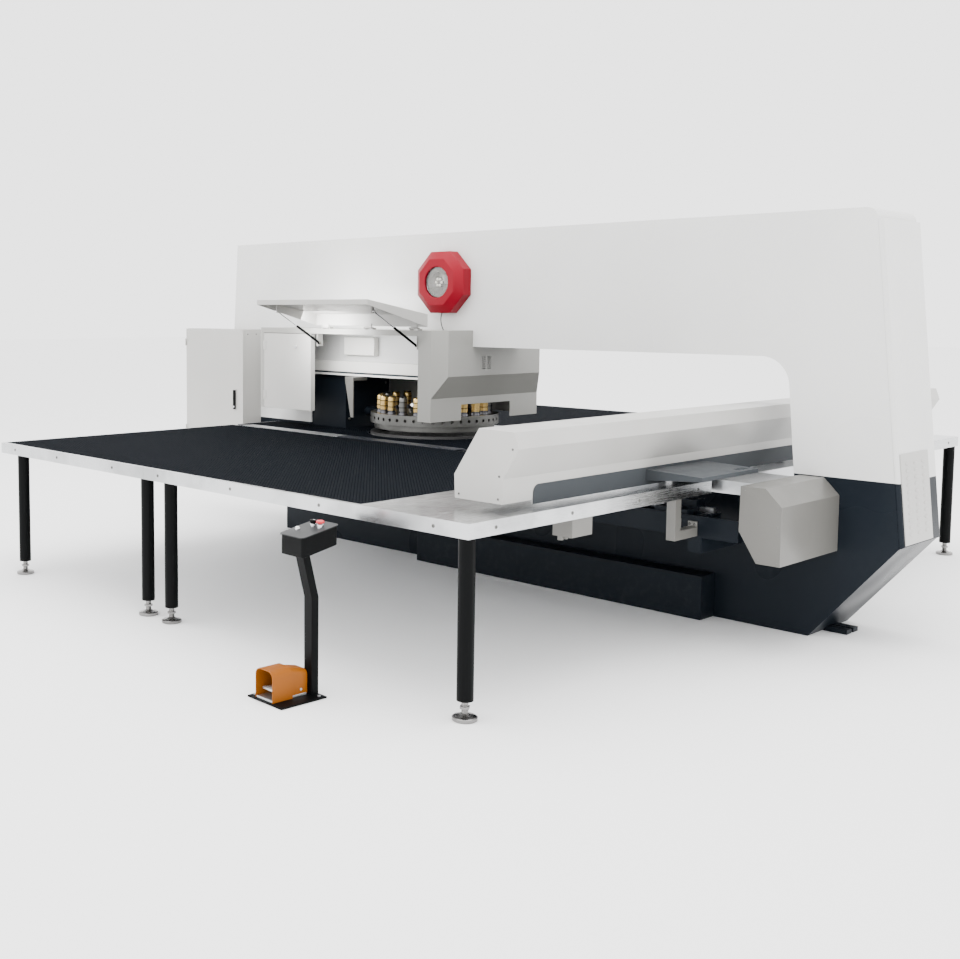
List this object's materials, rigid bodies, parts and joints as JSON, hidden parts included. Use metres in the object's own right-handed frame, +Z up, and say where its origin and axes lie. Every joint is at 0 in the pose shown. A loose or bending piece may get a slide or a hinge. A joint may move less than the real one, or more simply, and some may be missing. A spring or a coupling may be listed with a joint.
{
  "type": "turret punch press",
  "caption": "CNC turret punch press with an O-shaped frame, twin turrets, brush tables, a cross beam with sheet clamps, a guard with a raised flap and a foot pedal stand.",
  "frame": {"origin": "point of the floor under the axis that both turrets turn on, in the middle of the frame's width", "axes": "+Z up; +Y along the frame from the operator's end to its closed back; +X across the machine, along the cross beam"},
  "size_m": [5.9974, 6.0579, 2.34],
  "materials": {
    "paint_light": "satin",
    "paint_navy": "satin",
    "paint_slate": "satin",
    "paint_black": "satin",
    "paint_orange": "satin",
    "paint_crimson": "gloss",
    "stainless": "brushed",
    "machined_steel": "satin",
    "tool_steel": "satin",
    "chrome": "polished",
    "brush_bristle": "matte",
    "belt_rubber": "matte",
    "lens_glass": "clear",
    "black_plastic": "matte",
    "red_plastic": "gloss",
    "white_plastic": "gloss"
  },
  "bodies": {
    "machine": {"frame": "paint_light", "rear_cover": "paint_light", "louvre_panel": "paint_light", "base_plinths": "paint_navy", "floor_lugs": "paint_navy", "centre_table": "stainless", "wing_tables_right": "stainless", "wing_tables_left": "stainless", "brush_fields": "brush_bristle", "gap_strips": "stainless", "table_legs": "paint_black", "levelling_feet": "chrome", "table_brackets": "paint_light", "junction_block": "machined_steel", "y_rail_beams": "paint_navy", "y_rails": "machined_steel", "servo_motors": "paint_black", "motor_cover": "paint_light", "guard_shell": "paint_light", "cabinet_body": "paint_light", "lamp_housing": "paint_crimson", "lamp_lens": "lens_glass", "lamp_lead": "black_plastic", "index_housing": "paint_navy", "ram_cylinder": "paint_navy", "turret_hubs": "paint_navy", "turret_bearings": "machined_steel", "drive_belts": "belt_rubber", "stand_post": "paint_black", "stand_head": "paint_black", "pedal_guard": "paint_orange"},
    "upper_turret": {"upper_turret": "machined_steel", "punch_tools": "tool_steel", "upper_shaft": "machined_steel"},
    "lower_turret": {"lower_turret": "machined_steel", "die_set": "machined_steel", "lower_shaft": "machined_steel"},
    "cross_shaft": {"cross_shaft": "machined_steel"},
    "active_punch": {"active_punch": "tool_steel"},
    "ram": {"ram": "machined_steel"},
    "index_pins": {"index_pins": "machined_steel"},
    "cross_beam": {"x_beam": "paint_light", "beam_cover": "paint_light", "beam_carriers": "machined_steel", "beam_skirt": "paint_slate"},
    "y_screw": {"y_screw": "machined_steel"},
    "carriage": {"x_carriage": "machined_steel", "clamp_bodies": "machined_steel"},
    "clamp_jaws": {"clamp_jaws": "machined_steel"},
    "x_screw": {"x_screw": "machined_steel"},
    "guard_flap": {"guard_flap": "paint_light"},
    "strut_cylinders": {"strut_cylinders": "paint_black"},
    "strut_rods": {"strut_rods": "chrome"},
    "guard_door": {"guard_door": "paint_light"},
    "cabinet_door": {"cabinet_door": "paint_light"},
    "cabinet_handle": {"cabinet_handle": "black_plastic"},
    "stop_button": {"stop_button": "red_plastic"},
    "selector_knob": {"selector_knob": "black_plastic"},
    "push_button": {"push_button": "white_plastic"},
    "foot_pedal": {"foot_pedal": "paint_black"}
  },
  "joints": [
    {"name": "turret_turn", "type": "hinge", "parent": "machine", "child": "upper_turret", "pos_m": [0, 0, 1], "axis": [0, 0, 1], "continuous": true},
    {"name": "lower_turret_turn", "type": "hinge", "parent": "machine", "child": "lower_turret", "pos_m": [0, 0, 0.85], "axis": [0, 0, 1], "continuous": true},
    {"name": "cross_shaft_turn", "type": "hinge", "parent": "machine", "child": "cross_shaft", "pos_m": [0, -1.22, 1.2], "axis": [0, 0, 1], "continuous": true},
    {"name": "ram_slide", "type": "slide", "parent": "machine", "child": "ram", "axis": [0, 0, 1], "range_m": [-0.04, 0]},
    {"name": "punch_slide", "type": "slide", "parent": "upper_turret", "child": "active_punch", "axis": [0, 0, 1], "range_m": [-0.04, 0]},
    {"name": "index_slide", "type": "slide", "parent": "machine", "child": "index_pins", "axis": [0, 1, 0], "range_m": [0, 0.03]},
    {"name": "y_slide", "type": "slide", "parent": "machine", "child": "cross_beam", "axis": [0, 1, 0], "range_m": [-1.5, 0]},
    {"name": "y_screw_turn", "type": "hinge", "parent": "machine", "child": "y_screw", "pos_m": [0.82, 1.9, 0.655], "axis": [0, 1, 0], "continuous": true},
    {"name": "x_slide", "type": "slide", "parent": "cross_beam", "child": "carriage", "axis": [1, 0, 0], "range_m": [-1.25, 1.25]},
    {"name": "x_screw_turn", "type": "hinge", "parent": "cross_beam", "child": "x_screw", "pos_m": [0, 2.425, 1.01], "axis": [1, 0, 0], "continuous": true},
    {"name": "jaw_open", "type": "hinge", "parent": "carriage", "child": "clamp_jaws", "pos_m": [0, 2.215, 0.928], "axis": [-1, 0, 0], "range_deg": [0, 8]},
    {"name": "flap_close", "type": "hinge", "parent": "machine", "child": "guard_flap", "pos_m": [0.596, -0.1, 1.668], "axis": [0, 1, 0], "range_deg": [0, 106]},
    {"name": "strut_swing", "type": "hinge", "parent": "machine", "child": "strut_cylinders", "pos_m": [0.575, -0.15, 1.548], "axis": [0, 1, 0], "range_deg": [0, 115]},
    {"name": "strut_slide", "type": "slide", "parent": "strut_cylinders", "child": "strut_rods", "axis": [0.869, 0, 0.4948], "range_m": [-0.19, 0]},
    {"name": "guard_door_open", "type": "hinge", "parent": "machine", "child": "guard_door", "pos_m": [0.592, -1.286, 1.32], "axis": [0, 0, 1], "range_deg": [-110, 0]},
    {"name": "cabinet_door_open", "type": "hinge", "parent": "machine", "child": "cabinet_door", "pos_m": [0.448, -2.528, 1.136], "axis": [0, 0, 1], "range_deg": [-120, 0]},
    {"name": "handle_turn", "type": "hinge", "parent": "cabinet_door", "child": "cabinet_handle", "pos_m": [0.45, -1.838, 1.11], "axis": [1, 0, 0], "range_deg": [0, 90]},
    {"name": "stop_press", "type": "slide", "parent": "machine", "child": "stop_button", "axis": [0, 0, 1], "range_m": [-0.006, 0]},
    {"name": "selector_turn", "type": "hinge", "parent": "machine", "child": "selector_knob", "pos_m": [2.96213, 1.94052, 0.8], "axis": [0, 0, 1], "range_deg": [-45, 45]},
    {"name": "button_press", "type": "slide", "parent": "machine", "child": "push_button", "axis": [0, 0, 1], "range_m": [-0.004, 0], "stiffness_N_per_m": 1500, "springref_m": 0.001},
    {"name": "pedal_press", "type": "hinge", "parent": "machine", "child": "foot_pedal", "pos_m": [3.04561, 1.89558, 0.04], "axis": [0.0349, 0.9994, 0], "range_deg": [0, 8], "stiffness_Nm_per_rad": 40, "springref_deg": -8.59}
  ],
  "couplings": [
    {"joint": "lower_turret_turn", "follows": "turret_turn", "ratio": 1},
    {"joint": "cross_shaft_turn", "follows": "turret_turn", "ratio": 2},
    {"joint": "punch_slide", "follows": "ram_slide", "ratio": 1},
    {"joint": "y_screw_turn", "follows": "y_slide", "rad_per_m": 251.33},
    {"joint": "x_screw_turn", "follows": "x_slide", "rad_per_m": 251.33},
    {"joint": "strut_swing", "follows": "flap_close", "ratio": 1.083},
    {"joint": "strut_slide", "follows": "flap_close", "m_per_rad": -0.1004}
  ]
}
